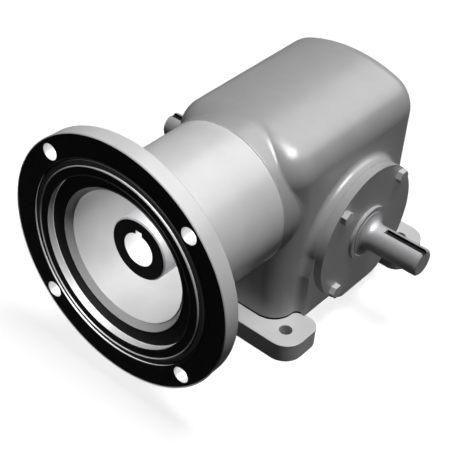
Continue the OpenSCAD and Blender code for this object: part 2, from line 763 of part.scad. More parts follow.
// One plane of the wheel: for each gap, down its first flank and up its second one
function rim_outline(c) =
  let (
    root = throat_r(abs(c), worm_tip_r),
    tip = tooth_tip_r(abs(c)),
    at = function(k, side) let (r = tip + (root - tip) * k / flank_steps) [r, flank_deg(c, r, side)],
    down = [for (k = [0 : flank_steps]) at(k, -1)],
    up = [for (k = [flank_steps : -1 : 0]) at(k, 1)])
  [for (i = [0 : wheel_teeth - 1]) for (p = concat(down, up)) [p[0], p[1] + i * 360 / wheel_teeth]];
module wheel_rim() {
  ys = [for (j = [0 : rim_planes]) rim_w * (j / rim_planes - 0.5)];
  planes = [for (y = ys) rim_outline(y)];
  m = len(ys);
  n = len(planes[0]);
  per_tooth = n / wheel_teeth;
  pitch_deg = 360 / wheel_teeth;
  web_r = (hub_r + throat_r(0, worm_tip_r)) / 2;
  place = function(r, a, y) [wheel_x + r * sin(a), y, wheel_z + r * cos(a)];
  gap_mid = function(o) (o[flank_steps][1] + o[flank_steps + 1][1]) / 2;
  web = function(j) [for (i = [0 : wheel_teeth - 1])
    place(web_r, (i + 0.5) * pitch_deg + gap_mid(planes[j]), ys[j])];
  pts = concat(
    [for (j = [0 : m - 1]) for (p = planes[j]) place(p[0], p[1], ys[j])],
    web(0), [place(0, 0, ys[0])], web(m - 1), [place(0, 0, ys[m - 1])]);
  sides = [for (j = [0 : m - 2]) for (k = [0 : n - 1])
    let (a = j * n + k, b = j * n + (k + 1) % n, c = a + n, d = b + n) each [[a, d, b], [a, c, d]]];
  // Each end face is a fan inside the bore, a ring of web points, and a fan over each tooth
  end_face = function(first, ring0) [for (i = [0 : wheel_teeth - 1])
    let (
      mid = ring0 + wheel_teeth,
      here = ring0 + i,
      next = ring0 + (i + 1) % wheel_teeth,
      flank0 = i * per_tooth + flank_steps + 1,
      at = function(k) first + (flank0 + k) % n)
    each concat(
      [[mid, here, next], [here, at(per_tooth), next]],
      [for (k = [0 : per_tooth - 1]) [here, at(k), at(k + 1)]])];
  near = end_face(0, m * n);
  far = [for (f = end_face((m - 1) * n, m * n + wheel_teeth + 1)) [f[2], f[1], f[0]]];
  color(bronze) difference() {
    polyhedron(points = pts, faces = concat(near, far, sides), convexity = 12);
    on_wheel(-rim_w) cylinder(r = hub_r + fit_gap, h = 2 * rim_w);
  }
}
thread_step = 15;
module worm_thread() {
  plain_end = 0.45 * lead;
  count = floor((worm_len - 2 * plain_end) / lead * 360 / thread_step);
  sunk_r = worm_root_r - 0.6;
  fade = 8;
  first = -count * thread_step / 2;
  tip = function(j) worm_root_r + (worm_tip_r - worm_root_r) * min(1, min(j, count - j) / fade) + 0.01;
  row = function(j)
    let (
      a = first + j * thread_step,
      mid = wheel_x + lead * (a + 90) / 360,
      r = tip(j),
      w0 = thread_half(sunk_r),
      w1 = thread_half(r))
    [for (p = [[sunk_r, -w0], [r, -w1], [r, w1], [sunk_r, w0]])
      [mid + p[1], p[0] * cos(a), worm_z + p[0] * sin(a)]];
  pts = [for (j = [0 : count]) for (p = row(j)) p];
  sides = [for (j = [0 : count - 1]) for (k = [0 : 3]) for (half = [0, 1])
    let (a = j * 4 + k, b = j * 4 + (k + 1) % 4, c = a + 4, d = b + 4) half == 0 ? [a, b, d] : [a, d, c]];
  ends = [[3, 2, 1, 0], [for (k = [0 : 3]) count * 4 + k]];
  polyhedron(points = pts, faces = concat(ends, sides), convexity = 12);
}

// Worm shaft: hollow keyed quill, bearing seats and worm, turned from one bar
module worm_shaft() {
  snap_r = front_bore_r - snap_depth;
  rear_snap_r = rear_bore_r - snap_depth;
  worm_collar_r = worm_neck_r + 2;
  ramp = 2;
  color(steel) difference() {
    union() {
      translate([0, 0, worm_z]) rotate([0, 90, 0]) rotate_extrude() polygon([
        [0, quill_x], [quill_r - quill_chamfer, quill_x], [quill_r, quill_x + quill_chamfer],
        [quill_r, front_brg_x0], [front_bore_r, front_brg_x0], [front_bore_r, front_snap_x],
        [snap_r, front_snap_x], [snap_r, front_snap_x + snap_w], [front_bore_r, front_snap_x + snap_w],
        [front_bore_r, front_seat_x1], [worm_collar_r, front_seat_x1], [worm_collar_r, worm_x0 - ramp],
        [worm_root_r, worm_x0], [worm_root_r, worm_x1], [worm_neck_r, worm_x1 + ramp],
        [worm_neck_r, rear_brg_x0], [rear_bore_r, rear_brg_x0], [rear_bore_r, rear_snap_x],
        [rear_snap_r, rear_snap_x], [rear_snap_r, rear_snap_x + snap_w],
        [rear_bore_r, rear_snap_x + snap_w], [rear_bore_r, worm_end_x], [0, worm_end_x]]);
      worm_thread();
    }
    on_worm(quill_x - over) cylinder(r = quill_bore_r, h = quill_bore_len + over);
    translate([quill_x - over, -key_w / 2, worm_z])
      cube([quill_bore_len + over, key_w, quill_bore_r + key_depth]);
  }
}

// Deep groove ball bearings
function ball_circle(inner, outer) = (inner + outer) / 2;
function ball_size(inner, outer) = 0.3 * (outer - inner);
shoulder_share = 0.5;
cage_share = 0.3;
cage_rim = 1;
module race_ring(r0, r1, w, circle_r, ball_r) {
  rotate_extrude() difference() {
    translate([r0, 0]) square([r1 - r0, w]);
    translate([circle_r, w / 2]) circle(r = ball_r + run_gap);
  }
}
module outer_race(inner, outer, w) {
  c = ball_circle(inner, outer);
  b = ball_size(inner, outer);
  color(bright_steel) race_ring(c + shoulder_share * b, outer, w, c, b);
}
module inner_race(inner, outer, w) {
  c = ball_circle(inner, outer);
  b = ball_size(inner, outer);
  color(bright_steel) race_ring(inner + fit_gap, c - shoulder_share * b, w, c, b);
}
module ball_set(inner, outer, w, count) {
  translate([0, 0, w / 2]) around(count, ball_circle(inner, outer)) sphere(r = ball_size(inner, outer));
}
module ball_cage(inner, outer, w, count) {
  c = ball_circle(inner, outer);
  b = ball_size(inner, outer);
  color(bronze) difference() {
    translate([0, 0, w / 2 - b - cage_rim]) ring(c + cage_share * b, c - cage_share * b, 2 * (b + cage_rim));
    translate([0, 0, w / 2]) around(count, c - b) rotate([0, 90, 0]) cylinder(r = b + 2 * run_gap, h = 2 * b);
  }
}
module front_bearing_outer() { on_worm(front_brg_x0) outer_race(front_bore_r, front_outer_r, front_w); }
module front_bearing_inner() { on_worm(front_brg_x0) inner_race(front_bore_r, front_outer_r, front_w); }
module front_balls() {
  color(bright_steel) on_worm(front_brg_x0) ball_set(front_bore_r, front_outer_r, front_w, front_ball_count);
}
module front_ball_cage() {
  on_worm(front_brg_x0) ball_cage(front_bore_r, front_outer_r, front_w, front_ball_count);
}
module rear_bearing_outer() { on_worm(rear_brg_x0) outer_race(rear_bore_r, rear_outer_r, rear_w); }
module rear_bearing_inner() { on_worm(rear_brg_x0) inner_race(rear_bore_r, rear_outer_r, rear_w); }
module rear_balls() {
  color(bright_steel) on_worm(rear_brg_x0) ball_set(rear_bore_r, rear_outer_r, rear_w, rear_ball_count);
}
module rear_ball_cage() {
  on_worm(rear_brg_x0) ball_cage(rear_bore_r, rear_outer_r, rear_w, rear_ball_count);
}

// Open retaining rings in the grooves behind both ball bearings
module snap_ring(shaft_r) {
  difference() {
    ring(shaft_r + snap_rise, shaft_r - snap_depth + run_gap, snap_w - 2 * snap_play);
    translate([0, -snap_opening / 2, -over]) cube([2 * shaft_r, snap_opening, snap_w + 2 * over]);
  }
}
module front_retaining_ring() { color(dark_iron) on_worm(front_snap_x + snap_play) snap_ring(front_bore_r); }
module rear_retaining_ring() { color(dark_iron) on_worm(rear_snap_x + snap_play) snap_ring(rear_bore_r); }

housing();
motor_flange();
motor_adapter();
adapter_gasket();
adapter_screws();
flange_seal_ring();
base_plate();
base_screws();
cover("right");  // cover_right
cover("left");  // cover_left
cover_shims("right");  // cover_shims_right
cover_shims("left");  // cover_shims_left
cover_screws("right");  // cover_screws_right
cover_screws("left");  // cover_screws_left
output_seal("right");  // output_seal_right
output_seal("left");  // output_seal_left
bearing_cup("right");  // bearing_cup_right
bearing_cup("left");  // bearing_cup_left
front_bearing_outer();
rear_bearing_outer();
input_seal();
rear_end_plug();
vent_plug();
level_plug();
drain_plug();
output_shaft();
wheel_hub();
wheel_rim();
wheel_key();
wheel_spacer();
bearing_cone("right");  // bearing_cone_right
bearing_cone("left");  // bearing_cone_left
rollers("right");  // rollers_right
roller_cage("right");  // roller_cage_right
rollers("left");  // rollers_left
roller_cage("left");  // roller_cage_left
worm_shaft();
front_bearing_inner();
front_retaining_ring();
rear_bearing_inner();
rear_retaining_ring();
front_balls();
front_ball_cage();
rear_balls();
rear_ball_cage();
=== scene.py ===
# The looks of a right-angle worm gear reducer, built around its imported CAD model.
# Blender objects are in metres in the model's frame: X along the worm axis, Y along the output
# shaft, Z up. Forms are computed in millimetres in that frame and scaled as they become meshes.
import json
import math

import bmesh
import bpy
import numpy as np
from mathutils import Matrix, Vector


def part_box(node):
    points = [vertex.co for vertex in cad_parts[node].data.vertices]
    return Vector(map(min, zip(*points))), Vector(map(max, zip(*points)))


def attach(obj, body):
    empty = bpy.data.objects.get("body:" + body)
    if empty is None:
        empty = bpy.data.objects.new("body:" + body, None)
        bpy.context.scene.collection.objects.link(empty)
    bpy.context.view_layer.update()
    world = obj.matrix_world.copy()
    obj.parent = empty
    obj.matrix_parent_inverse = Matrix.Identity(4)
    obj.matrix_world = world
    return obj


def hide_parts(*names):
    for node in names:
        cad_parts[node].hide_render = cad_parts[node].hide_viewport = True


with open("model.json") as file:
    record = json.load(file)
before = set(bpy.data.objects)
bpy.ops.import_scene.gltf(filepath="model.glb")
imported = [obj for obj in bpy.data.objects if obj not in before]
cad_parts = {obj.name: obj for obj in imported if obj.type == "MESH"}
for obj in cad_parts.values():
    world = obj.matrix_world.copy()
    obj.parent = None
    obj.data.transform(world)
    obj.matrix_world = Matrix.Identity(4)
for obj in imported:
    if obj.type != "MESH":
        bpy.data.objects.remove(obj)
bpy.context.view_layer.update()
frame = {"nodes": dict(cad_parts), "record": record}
NODES = frame["nodes"]
MM = 0.001


def low(node):
    """Lowest corner of a node's box, in millimetres."""
    return np.array(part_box(node)[0]) / MM


def high(node):
    """Highest corner of a node's box, in millimetres."""
    return np.array(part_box(node)[1]) / MM


def middle(node):
    return (low(node) + high(node)) / 2


# Places read from the frame
WORM_Z = middle("worm_shaft")[2]
WHEEL_X = middle("output_shaft")[0]
WHEEL_Z = middle("output_shaft")[2]
BASE_TOP = high("base_plate")[2]
FRONT_X, REAR_X = low("housing")[0], high("housing")[0]
BOSS_Y = high("housing")[1]
FLANGE_X = low("motor_flange")[0]
FLANGE_R = high("motor_flange")[1]
ADAPTER_END_D = low("adapter_gasket")[0] - FLANGE_X
PILOT_END_D = high("motor_adapter")[0] - FLANGE_X
COVER_R = high("cover_right")[0] - WHEEL_X

# Sizes of the housing
WALL = 8.0
SIDE_Y = 50.5
SHOULDER_R = 24.0
SHOULDER_RISE = 21.4
CROWN_R = 100.0
FRONT_ROUND = 21.0
FRONT_ROUND_AT_FOOT = 16.0
REAR_ROUND = 15.0
NOSE_OUT = 3.3
NOSE_LEN = 16.0
NOSE_EDGE = 0.8
NOSE_FILLET = 1.0
BODY_X0, BODY_X1 = FRONT_X + NOSE_OUT, REAR_X
CROWN_CLEAR_Z = WORM_Z + 53.0
PAD_HALF_W = 51.0
PAD_TOP_HALF_W = 46.5
PAD_HALF_RISE = 12.5
BOSS_FILLET = 4.1
FOOT_EDGE = 0.7
# The painted shade band along the housing's foot: its height and half width
FOOT_LINE = 1.3
FOOT_LINE_HALF_W = SIDE_Y + 4

# Inside of the housing. A seat or bore on the worm axis is its radius, start and end.
PAST_END = 80.0
SEATS = ((39.0, BODY_X0, -45.0), (27.0, 44.0, BODY_X1))
BORES = (
    (31.03, -PAST_END, -48.5),
    (27.0, -PAST_END, -44.0),
    (20.03, 46.0, PAST_END),
    (16.5, 42.0, PAST_END),
)
OUTPUT_OPENING_R = 36.0
OUTPUT_OPENING_Y = 36.0
PLUG_HOLES = ((0.0, 127.6), (-24.0, 65.5), (0.0, 30.0))
PLUG_HOLE_R = 6.6
PLUG_HOLE_X = 58.0

# Sizes of the shafts
OUTPUT_R = 9.525
# The quill's end face, within this depth in the bell, gets painted shade
QUILL_END_D = 19

# Sizes of the motor adapter
BARREL_R = 49.5
BELL_R = 44.0
MOUTH_R = 47.7
REGISTER_R = 57.15
REGISTER_D = 5.0
GROOVE_R = (62.4, 67.9)
GROOVE_D = 1.2
FLANGE_T = 11.3
BELL_FLOOR_T = 8.0
BELL_FLOOR_D = ADAPTER_END_D - BELL_FLOOR_T
PILOT_R = 31.0
PILOT_BORE_R = 28.0

# Camera: the photograph's viewpoint, found from the flange's circles and the housing's edges
IMAGE_SIDE = 450
FOCAL_PX = 1218.89
SENSOR_MM = 36.0
CAMERA_MM = (-543.74, -365.67, 563.46)
CAMERA_YAW = math.radians(37.4036)
CAMERA_DOWN = math.radians(39.4185)
CAMERA_ROLL = math.radians(4.6576)


def add_object(name, data):
    obj = bpy.data.objects.new(name, data)
    bpy.context.scene.collection.objects.link(obj)
    return obj


def make_camera():
    data = bpy.data.cameras.new("camera")
    data.sensor_width = SENSOR_MM
    data.lens = FOCAL_PX / IMAGE_SIDE * SENSOR_MM
    data.clip_start = 0.05
    data.clip_end = 30
    camera = add_object("camera", data)
    level = math.cos(CAMERA_DOWN)
    ahead = Vector((level * math.cos(CAMERA_YAW), level * math.sin(CAMERA_YAW), -math.sin(CAMERA_DOWN)))
    flat_right = Vector((math.sin(CAMERA_YAW), -math.cos(CAMERA_YAW), 0))
    flat_up = flat_right.cross(ahead)
    right = math.cos(CAMERA_ROLL) * flat_right + math.sin(CAMERA_ROLL) * flat_up
    up = math.cos(CAMERA_ROLL) * flat_up - math.sin(CAMERA_ROLL) * flat_right
    matrix = Matrix((right, up, -ahead)).transposed().to_4x4()
    matrix.translation = Vector(CAMERA_MM) * MM
    camera.matrix_world = matrix
    bpy.context.scene.camera = camera


# Materials
class Finish:
    """A short way to write a material's node tree. Textures use object coordinates in metres."""

    def __init__(self, name, metallic=0.0, **sockets):
        self.material = bpy.data.materials.new(name)
        self.material.use_nodes = True
        self.tree = self.material.node_tree
        self.shader = self.tree.nodes["Principled BSDF"]
        self.shader.inputs["Metallic"].default_value = metallic
        for key, value in sockets.items():
            self.shader.inputs[key.replace("_", " ")].default_value = value
        self.coords = self.tree.nodes.new("ShaderNodeTexCoord").outputs["Object"]

    def noise(self, scale, detail=4.0):
        node = self.tree.nodes.new("ShaderNodeTexNoise")
        node.inputs["Scale"].default_value = scale
        node.inputs["Detail"].default_value = detail
        self.tree.links.new(self.coords, node.inputs["Vector"])
        return node.outputs["Fac"]

    def ramp(self, value, start, end, out_start, out_end):
        node = self.tree.nodes.new("ShaderNodeMapRange")
        limits = {"From Min": start, "From Max": end, "To Min": out_start, "To Max": out_end}
        for key, number in limits.items():
            node.inputs[key].default_value = number
        self.tree.links.new(value, node.inputs["Value"])
        return node.outputs["Result"]

    def mottle(self, scale, low_value, high_value):
        """Noise of a scale, spread between two values."""
        return self.ramp(self.noise(scale), 0.3, 0.7, low_value, high_value)

    def mix(self, factor, a, b):
        """Colour a where factor is 0 and b where it is 1. Each is a colour or an output."""
        node = self.tree.nodes.new("ShaderNodeMix")
        node.data_type = "RGBA"
        self.tree.links.new(factor, node.inputs[0])
        for socket, value in ((node.inputs[6], a), (node.inputs[7], b)):
            if isinstance(value, tuple):
                socket.default_value = (*value, 1)
            else:
                self.tree.links.new(value, socket)
        return node.outputs[2]

    def math(self, operation, a, b=None):
        node = self.tree.nodes.new("ShaderNodeMath")
        node.operation = operation
        for socket, value in zip(node.inputs, (a, b)):
            if isinstance(value, (int, float)):
                socket.default_value = value
            elif value is not None:
                self.tree.links.new(value, socket)
        return node.outputs["Value"]

    def edges(self, radius, start=0.02, end=0.12):
        """1 on sharp outer edges and 0 on flat ground, from a bevelled normal."""
        bevel = self.tree.nodes.new("ShaderNodeBevel")
        bevel.samples = 4
        bevel.inputs["Radius"].default_value = radius
        geometry = self.tree.nodes.new("ShaderNodeNewGeometry")
        dot = self.tree.nodes.new("ShaderNodeVectorMath")
        dot.operation = "DOT_PRODUCT"
        self.tree.links.new(bevel.outputs["Normal"], dot.inputs[0])
        self.tree.links.new(geometry.outputs["Normal"], dot.inputs[1])
        return self.ramp(self.math("SUBTRACT", 1.0, dot.outputs["Value"]), start, end, 0, 1)

    def rings(self, axis, pitch):
        """Turning marks: distance from an axis line, as a fine wave."""
        split = self.tree.nodes.new("ShaderNodeSeparateXYZ")
        self.tree.links.new(self.coords, split.inputs["Vector"])
        centre = {"X": (0, 0, WORM_Z * MM), "Y": (WHEEL_X * MM, 0, WHEEL_Z * MM)}[axis]
        squares = [self.math("POWER", self.math("SUBTRACT", split.outputs[name], centre[i]), 2.0)
                   for i, name in enumerate("XYZ") if name != axis]
        radius = self.math("SQRT", self.math("ADD", *squares))
        return self.math("SINE", self.math("MULTIPLY", radius, 2 * math.pi / pitch))

    def colour(self, value):
        self.tree.links.new(value, self.shader.inputs["Base Color"])

    def roughness(self, value):
        self.tree.links.new(value, self.shader.inputs["Roughness"])

    def bump(self, height, strength, distance):
        node = self.tree.nodes.new("ShaderNodeBump")
        node.inputs["Strength"].default_value = strength
        node.inputs["Distance"].default_value = distance
        self.tree.links.new(height, node.inputs["Height"])
        self.tree.links.new(node.outputs["Normal"], self.shader.inputs["Normal"])


LIGHT_PAINT = (0.60, 0.60, 0.605)
HOUSING_PAINT = (0.345, 0.345, 0.349)
BASE_PAINT = (0.48, 0.48, 0.484)
# Near-black colour for painted shade on faces that stand in shade
SHADE_BLACK = (0.006, 0.006, 0.0065)
TURNING_PITCH = 0.00035
FACING_PITCH = 0.0006


def cast_paint(name, colour):
    """Smooth grey machinery paint over a fine cast skin."""
    f = Finish(name, Specular_IOR_Level=0.12, Coat_Weight=0.5, Coat_Roughness=0.28)
    shade = tuple(c * 0.93 for c in colour)
    worn = tuple(c * 1.12 for c in colour)
    painted = f.mix(f.ramp(f.noise(45.0), 0.35, 0.65, 0, 1), colour, shade)
    f.colour(f.mix(f.math("MULTIPLY", f.edges(0.0008), 0.5), painted, worn))
    f.roughness(f.mottle(260.0, 0.46, 0.56))
    f.bump(f.noise(1100.0, detail=3.0), 0.10, 0.0002)
    return f.material


def turned_metal(name, light, dark, axis, roughness, metallic=1.0):
    """Turned and ground steel with fine rings round its axis."""
    f = Finish(name, metallic=metallic)
    f.colour(f.mix(f.mottle(120.0, 0, 1), light, dark))
    f.roughness(f.mottle(500.0, roughness - 0.04, roughness + 0.06))
    f.bump(f.rings(axis, TURNING_PITCH), 0.06, 0.00002)
    return f.material


def painted_shade_finish():
    """Painted shade: a near-black finish put on faces that stand in shade, with faint facing rings."""
    f = Finish("painted_shade_finish", Specular_IOR_Level=0.1)
    lighter = tuple(c * 1.6 for c in SHADE_BLACK)
    f.colour(f.mix(f.mottle(90.0, 0, 1), SHADE_BLACK, lighter))
    f.roughness(f.mottle(350.0, 0.45, 0.6))
    f.bump(f.rings("X", FACING_PITCH), 0.08, 0.00003)
    return f.material


def plain(name, colour, shade, roughness, metallic=0.0):
    """An even finish with a fine grain and no turning marks."""
    grain = 600.0
    f = Finish(name, metallic=metallic)
    f.colour(f.mix(f.mottle(150.0, 0, 1), colour, shade))
    f.roughness(f.mottle(grain, roughness - 0.05, roughness + 0.07))
    f.bump(f.noise(grain * 2), 0.08, 0.0001)
    return f.material


MATERIALS = {
    "casting": cast_paint("cast_paint", LIGHT_PAINT),
    "plain_steel": turned_metal(
        "plain_steel", (0.44, 0.44, 0.45), (0.38, 0.38, 0.39), "Y", roughness=0.42, metallic=0.15),
    "output_steel": turned_metal(
        "output_steel", (0.36, 0.36, 0.37), (0.32, 0.32, 0.33), "Y", roughness=0.42, metallic=0.15),
    "worm_steel": turned_metal(
        "worm_steel", (0.82, 0.82, 0.83), (0.75, 0.75, 0.76), "X", roughness=0.42, metallic=0.2),
    "screw_steel": plain(
        "screw_steel", (0.44, 0.44, 0.45), (0.38, 0.38, 0.39), roughness=0.42, metallic=0.15),
    "bearing_steel": turned_metal(
        "bearing_steel", (0.68, 0.68, 0.69), (0.6, 0.6, 0.61), "Y", roughness=0.15),
    "dark_iron": plain("dark_iron", (0.035, 0.035, 0.038), (0.022, 0.022, 0.024), roughness=0.42),
    "bronze": turned_metal("bronze", (0.62, 0.40, 0.16), (0.52, 0.32, 0.12), "Y", roughness=0.3),
    "rubber": plain("rubber", (0.012, 0.012, 0.013), (0.02, 0.02, 0.021), roughness=0.6),
}
HOUSING = cast_paint("housing_paint", HOUSING_PAINT)
BASE = cast_paint("base_paint", BASE_PAINT)
# The painted-shade finish, near black, for faces that stand in shade
PAINTED_SHADE = painted_shade_finish()
MACHINED = turned_metal(
    "machined_iron", (0.72, 0.72, 0.725), (0.66, 0.66, 0.665), "X", roughness=0.42, metallic=0.3)


# Cast forms are distance functions in millimetres: negative inside, 0 on the surface
def fillet_union(a, b, r):
    """What lies in either form, with a fillet of radius r in the corner between them."""
    return np.maximum(r, np.minimum(a, b)) - np.hypot(np.maximum(r - a, 0), np.maximum(r - b, 0))


def rounded_cut(a, b, r):
    """What lies in both forms, with its edge rounded."""
    return np.minimum(np.maximum(a, b), -r) + np.hypot(np.maximum(a + r, 0), np.maximum(b + r, 0))


def on_worm_axis(x, y, z, r, x0, x1):
    """A cylinder about the worm axis."""
    return np.maximum(np.hypot(y, z - WORM_Z) - r, np.maximum(x0 - x, x - x1))


def hood(x, y, z, inset=0.0):
    """The housing's prism with a crowned top and rounded ends, drawn inwards by an inset."""
    y = np.abs(y)
    shoulder_y = SIDE_Y - SHOULDER_R
    shoulder_z = WORM_Z + SHOULDER_RISE
    crown_z = shoulder_z - math.sqrt((CROWN_R - SHOULDER_R) ** 2 - shoulder_y ** 2)
    side = y - SIDE_Y
    shoulder = np.hypot(y - shoulder_y, z - shoulder_z) - SHOULDER_R
    crown = np.hypot(y, z - crown_z) - CROWN_R
    on_crown = y * (shoulder_z - crown_z) < (z - crown_z) * shoulder_y
    across = np.where(z < shoulder_z, side, np.where(on_crown, crown, shoulder)) + inset
    half, centre = (BODY_X1 - BODY_X0) / 2, (BODY_X1 + BODY_X0) / 2
    length = np.abs(x - centre) - half + inset
    towards_foot = np.clip((WORM_Z - z) / (WORM_Z - BASE_TOP), 0, 1)
    front_round = FRONT_ROUND + (FRONT_ROUND_AT_FOOT - FRONT_ROUND) * towards_foot
    e = np.where(x < centre, front_round, REAR_ROUND) - inset
    return np.minimum(np.maximum(across + e, length + e), 0) + np.hypot(
        np.maximum(across + e, 0), np.maximum(length + e, 0)) - e


def housing_form(x, y, z):
    """The hood with its nose, bosses and pads, hollowed, and bored for the shafts and plugs."""
    ay = np.abs(y)
    from_wheel = np.hypot(x - WHEEL_X, z - WHEEL_Z)
    taper = (PAD_HALF_W - PAD_TOP_HALF_W) * np.clip((z - WHEEL_Z) / PAD_HALF_RISE + 1, 0, 2) / 2
    pad = np.maximum(np.abs(x - WHEEL_X) - PAD_HALF_W + taper, z - WHEEL_Z - PAD_HALF_RISE)
    bosses = np.maximum(np.minimum(from_wheel - COVER_R, pad), ay - BOSS_Y)
    nose = rounded_cut(np.hypot(y, z - WORM_Z) - BARREL_R, FRONT_X - x, NOSE_EDGE)
    nose = np.maximum(nose, x - BODY_X0 - NOSE_LEN)
    body = fillet_union(hood(x, y, z), nose, NOSE_FILLET)
    body = fillet_union(body, bosses, BOSS_FILLET)
    hollow = np.maximum(hood(x, y, z, WALL), BASE_TOP + WALL - z)
    front_seat, rear_seat = (on_worm_axis(x, y, z, *seat) for seat in SEATS)
    body = np.maximum(body, -np.maximum(hollow, -np.minimum(front_seat, rear_seat)))
    for bore in BORES:
        body = np.maximum(body, -on_worm_axis(x, y, z, *bore))
    body = np.maximum(body, -np.maximum(from_wheel - OUTPUT_OPENING_R, OUTPUT_OPENING_Y - ay))
    for hole_y, hole_z in PLUG_HOLES:
        hole = np.maximum(np.hypot(y - hole_y, z - hole_z) - PLUG_HOLE_R, PLUG_HOLE_X - x)
        body = np.maximum(body, -hole)
    return rounded_cut(body, BASE_TOP - z, FOOT_EDGE)


# Meshing: how far a slope is probed, the least slope that moves a crossing, how firmly a vertex is
# held to the middle of its crossings, and how far inside a face its corner normals are taken
PROBE = 0.01
LEAST_SLOPE = 0.1
HOLD = 0.05
INWARD = 0.3
HOUSING_STEP, QUICK_HOUSING_STEP = 0.9, 1.6
HOUSING_MARGIN = 2.2


def slope_at(form, points):
    """Unit slope of a form at each point."""
    slope = np.stack([form(*(points + PROBE * e).T) - form(*(points - PROBE * e).T) for e in np.eye(3)], 1)
    return slope / np.maximum(np.linalg.norm(slope, axis=1), 1e-9)[:, None]


def mesh_from_form(name, form, lo, hi, step):
    """Dual contouring: each cell that the surface crosses gets one vertex, where the planes through
    its crossings meet, so that creases stay sharp. Corner normals come from the form's slope."""
    lo = np.array(lo)
    axes = [np.arange(a, b + step, step) for a, b in zip(lo, hi)]
    grid = np.broadcast_to(form(*np.meshgrid(*axes, indexing="ij", sparse=True)), [len(a) for a in axes])
    inside = grid < 0
    cells = tuple(n - 1 for n in grid.shape)
    corners = np.zeros(cells, dtype=np.int8)
    for offset in np.ndindex(2, 2, 2):
        corners += inside[tuple(slice(o, o + n) for o, n in zip(offset, cells))]
    active = (corners > 0) & (corners < 8)
    number = np.full(cells, -1)
    number[active] = np.arange(active.sum())
    sums = np.zeros((active.sum(), 13))
    quads = []
    for d in range(3):
        o1, o2 = [k for k in range(3) if k != d]
        start, stop = [slice(None)] * 3, [slice(None)] * 3
        start[d], stop[d] = slice(None, -1), slice(1, None)
        first_in = inside[tuple(start)]
        at = np.argwhere(first_in != inside[tuple(stop)])
        a = grid[tuple(at.T)]
        b = grid[tuple((at + np.eye(3, dtype=int)[d]).T)]
        points = lo + step * (at + np.eye(3)[d] * (a / (a - b))[:, None])
        for _ in range(2):
            value, ahead = form(*points.T), form(*(points + PROBE * np.eye(3)[d]).T)
            rate = (ahead - value) / PROBE
            shift = value / np.where(np.abs(rate) > LEAST_SLOPE, rate, np.inf)
            points[:, d] -= np.clip(shift, -step / 4, step / 4)
        n = slope_at(form, points)
        level = (n * points).sum(1)
        columns = [np.ones(len(at)), *points.T, *(n[:, i] * n[:, k] for i in range(3) for k in range(i, 3)),
                   *(n * level[:, None]).T]
        ring = []
        for u, v in ((1, 1), (0, 1), (0, 0), (1, 0)):
            cell = at.copy()
            cell[:, o1] -= u
            cell[:, o2] -= v
            ring.append(number[tuple(cell.T)])
            for i, column in enumerate(columns):
                sums[:, i] += np.bincount(ring[-1], column, len(sums))
        ring = np.stack(ring, 1)
        flip = first_in[tuple(at.T)] == (d != 1)
        ring[~flip] = ring[~flip][:, ::-1]
        quads.append(ring)
    quads = np.concatenate(quads)
    middle_point = sums[:, 1:4] / sums[:, :1]
    planes = sums[:, [4, 5, 6, 5, 7, 8, 6, 8, 9]].reshape(-1, 3, 3)
    pull = sums[:, 10:13] - np.einsum("nij,nj->ni", planes, middle_point)
    shift = np.linalg.solve(planes + HOLD * np.eye(3), pull[..., None])[..., 0]
    cell_lo = lo + step * np.argwhere(active)
    points = np.clip(middle_point + shift, cell_lo, cell_lo + step)
    mesh = bpy.data.meshes.new(name)
    mesh.from_pydata((points * MM).tolist(), [], quads.tolist())
    mesh.update()
    corner = points[quads]
    probe = corner + INWARD * (corner.mean(1, keepdims=True) - corner)
    normals = slope_at(form, probe.reshape(-1, 3))
    for polygon in mesh.polygons:
        polygon.use_smooth = True
    mesh.normals_split_custom_set(normals.tolist())
    return mesh


def stand_in(piece, *nodes):
    """A cast piece of the case, seen in place of CAD nodes."""
    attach(piece, "case")
    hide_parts(*nodes)


def smooth(mesh, sharp_deg):
    for polygon in mesh.polygons:
        polygon.use_smooth = True
    mesh.set_sharp_from_angle(angle=math.radians(sharp_deg))


def even_shading(obj):
    """Flat faces keep one tone right up to their rounded edges."""
    even = obj.modifiers.new("even", "WEIGHTED_NORMAL")
    even.mode = "FACE_AREA"
    even.weight = 100
    even.keep_sharp = True


def paint_shade(obj, wanted):
    """Paints shade: the faces whose centre and normal are wanted get the near-black painted-shade finish.
    """
    obj.data.materials.append(PAINTED_SHADE)
    for polygon in obj.data.polygons:
        if wanted(polygon.center, polygon.normal):
            polygon.material_index = 1


# Painted shade: a dark band along the housing's foot, where it meets the base plate.
def on_foot_line(centre, normal):
    return centre.z < (BASE_TOP + FOOT_LINE) * MM and abs(centre.y) < FOOT_LINE_HALF_W * MM


# Painted shade: the quill's end face, turned away from the lamps.
def on_quill_end(centre, normal):
    return normal.x < -0.95 and centre.x < (FLANGE_X + QUILL_END_D) * MM


# Painted shade: the walls and floor of the output shaft's keyway, a recess in shade.
def in_output_keyway(centre, normal):
    from_axis = math.hypot(centre.x - WHEEL_X * MM, centre.z - WHEEL_Z * MM)
    return abs(centre.y) > BOSS_Y * MM and abs(normal.y) < 0.3 and from_axis < (OUTPUT_R - 0.1) * MM


def make_housing():
    step = HOUSING_STEP
    lo = (FRONT_X - HOUSING_MARGIN, -BOSS_Y - HOUSING_MARGIN, BASE_TOP - HOUSING_MARGIN)
    hi = (REAR_X + HOUSING_MARGIN, BOSS_Y + HOUSING_MARGIN, CROWN_CLEAR_Z)
    mesh = mesh_from_form("housing_casting", housing_form, lo, hi, step)
    mesh.materials.append(HOUSING)
    obj = add_object("housing_casting", mesh)
    stand_in(obj, "housing")
    # Painted shade along the housing's foot
    paint_shade(obj, on_foot_line)
